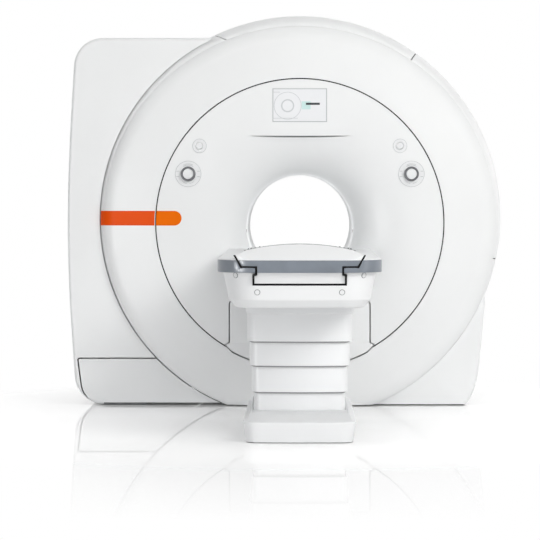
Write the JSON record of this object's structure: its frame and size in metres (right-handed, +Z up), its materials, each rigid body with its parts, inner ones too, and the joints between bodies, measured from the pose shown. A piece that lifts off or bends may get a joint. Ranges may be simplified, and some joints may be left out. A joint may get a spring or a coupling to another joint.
{
  "type": "magnetic resonance scanner",
  "caption": "Round-faced scanner with a patient bore, a side cabinet and a lifting patient table whose top slides into the bore.",
  "frame": {"origin": "on the floor, under the middle of the magnet", "axes": "+X to the right as seen from the table, +Y from the table into the bore, +Z up"},
  "size_m": [2.4289, 3.83, 2.185],
  "materials": {
    "cover_white": "satin painted moulding",
    "control_white": "satin moulded plastic",
    "control_dark": "fine matt moulded plastic",
    "display_glass": "bonded display glass",
    "laser_window": "tinted window",
    "accent_orange": "printed film strip",
    "table_white": "satin painted moulding",
    "tabletop": "smooth laminate",
    "bumper_grey": "blue-grey bumper, satin",
    "glide": "slippery plastic",
    "liner": "smooth laminate",
    "magnet_steel": "brushed stainless steel",
    "shield_aluminium": "rolled sheet",
    "coil_winding": "resin-filled winding",
    "strut": "glass-fibre rod",
    "coil_resin": "cast resin",
    "frame_steel": "powder-coated steel",
    "rack": "sheet metal rack with its units",
    "lift_steel": "ground steel tube"
  },
  "bodies": {
    "root": {"funnel_cover_front": "cover_white", "disc_cover_front": "cover_white", "docking_panel": "cover_white", "funnel_cover_rear": "cover_white", "disc_cover_rear": "cover_white", "ring_cover_front": "cover_white", "ring_cover_rear": "cover_white", "top_cover": "cover_white", "right_cover_upper": "cover_white", "right_cover_lower": "cover_white", "left_cover": "cover_white", "cabinet_cover": "cover_white", "kick_panel": "cover_white", "dial_bezel_left": "control_white", "dial_bezel_right": "control_white", "button_rim_left": "control_white", "button_rim_right": "control_white", "display_frame": "control_dark", "display_glass": "display_glass", "laser_windows": "laser_window", "accent_strip_outer": "accent_orange", "accent_strip_inner": "accent_orange", "skirt_lower": "table_white", "foot_cover": "table_white", "bore_liner": "liner", "bore_table_rails": "liner", "vacuum_vessel": "magnet_steel", "helium_vessel": "magnet_steel", "service_turret": "magnet_steel", "thermal_shield": "shield_aluminium", "superconducting_coils": "coil_winding", "suspension_struts": "strut", "gradient_coil": "coil_resin", "body_rf_coil": "coil_resin", "base_frame": "frame_steel", "magnet_cradles": "frame_steel", "cover_brackets": "frame_steel", "cabinet_frame": "frame_steel", "table_base_plate": "frame_steel", "electronics_rack": "rack", "lift_cylinders": "lift_steel"},
    "table": {"table_housing": "table_white", "table_bumper_left": "bumper_grey", "table_bumper_right": "bumper_grey", "screw_caps": "control_white", "glide_strips": "glide", "skirt_upper": "table_white", "lift_rods": "lift_steel"},
    "tabletop": {"tabletop": "tabletop", "end_cap": "table_white", "end_cap_bumper": "bumper_grey"},
    "skirt_third": {"skirt_third": "table_white"},
    "skirt_second": {"skirt_second": "table_white"},
    "lift_middle": {"lift_middle_tubes": "lift_steel"},
    "knob_left": {"dial_knob_left": "control_dark"},
    "centre_button_left": {"dial_button_left": "control_white"},
    "small_button_left": {"push_button_left": "control_white"},
    "knob_right": {"dial_knob_right": "control_dark"},
    "centre_button_right": {"dial_button_right": "control_white"},
    "small_button_right": {"push_button_right": "control_white"}
  },
  "joints": [
    {"name": "table_lift", "type": "slide", "parent": "root", "child": "table", "axis": [0, 0, 1], "range_m": [-0.33, 0]},
    {"name": "tabletop_travel", "type": "slide", "parent": "table", "child": "tabletop", "axis": [0, 1, 0], "range_m": [0, 1.85]},
    {"name": "skirt_third_slide", "type": "slide", "parent": "root", "child": "skirt_third", "axis": [0, 0, 1], "range_m": [-0.2079, 0]},
    {"name": "skirt_second_slide", "type": "slide", "parent": "root", "child": "skirt_second", "axis": [0, 0, 1], "range_m": [-0.0825, 0]},
    {"name": "lift_middle_slide", "type": "slide", "parent": "root", "child": "lift_middle", "axis": [0, 0, 1], "range_m": [-0.165, 0]},
    {"name": "dial_left_turn", "type": "hinge", "parent": "root", "child": "knob_left", "pos_m": [-0.618, -0.79, 1.293], "axis": [0, 1, 0], "range_deg": [-60, 60], "stiffness_Nm_per_rad": 0.4},
    {"name": "dial_left_press", "type": "slide", "parent": "knob_left", "child": "centre_button_left", "axis": [0, 1, 0], "range_m": [0, 0.003], "stiffness_N_per_m": 800},
    {"name": "button_left_press", "type": "slide", "parent": "root", "child": "small_button_left", "axis": [0, 1, 0], "range_m": [0, 0.002], "stiffness_N_per_m": 800},
    {"name": "dial_right_turn", "type": "hinge", "parent": "root", "child": "knob_right", "pos_m": [0.618, -0.79, 1.293], "axis": [0, 1, 0], "range_deg": [-60, 60], "stiffness_Nm_per_rad": 0.4},
    {"name": "dial_right_press", "type": "slide", "parent": "knob_right", "child": "centre_button_right", "axis": [0, 1, 0], "range_m": [0, 0.003], "stiffness_N_per_m": 800},
    {"name": "button_right_press", "type": "slide", "parent": "root", "child": "small_button_right", "axis": [0, 1, 0], "range_m": [0, 0.002], "stiffness_N_per_m": 800}
  ],
  "couplings": [
    {"joint": "skirt_third_slide", "follows": "table_lift", "ratio": 0.63},
    {"joint": "skirt_second_slide", "follows": "table_lift", "ratio": 0.25},
    {"joint": "lift_middle_slide", "follows": "table_lift", "ratio": 0.5}
  ]
}
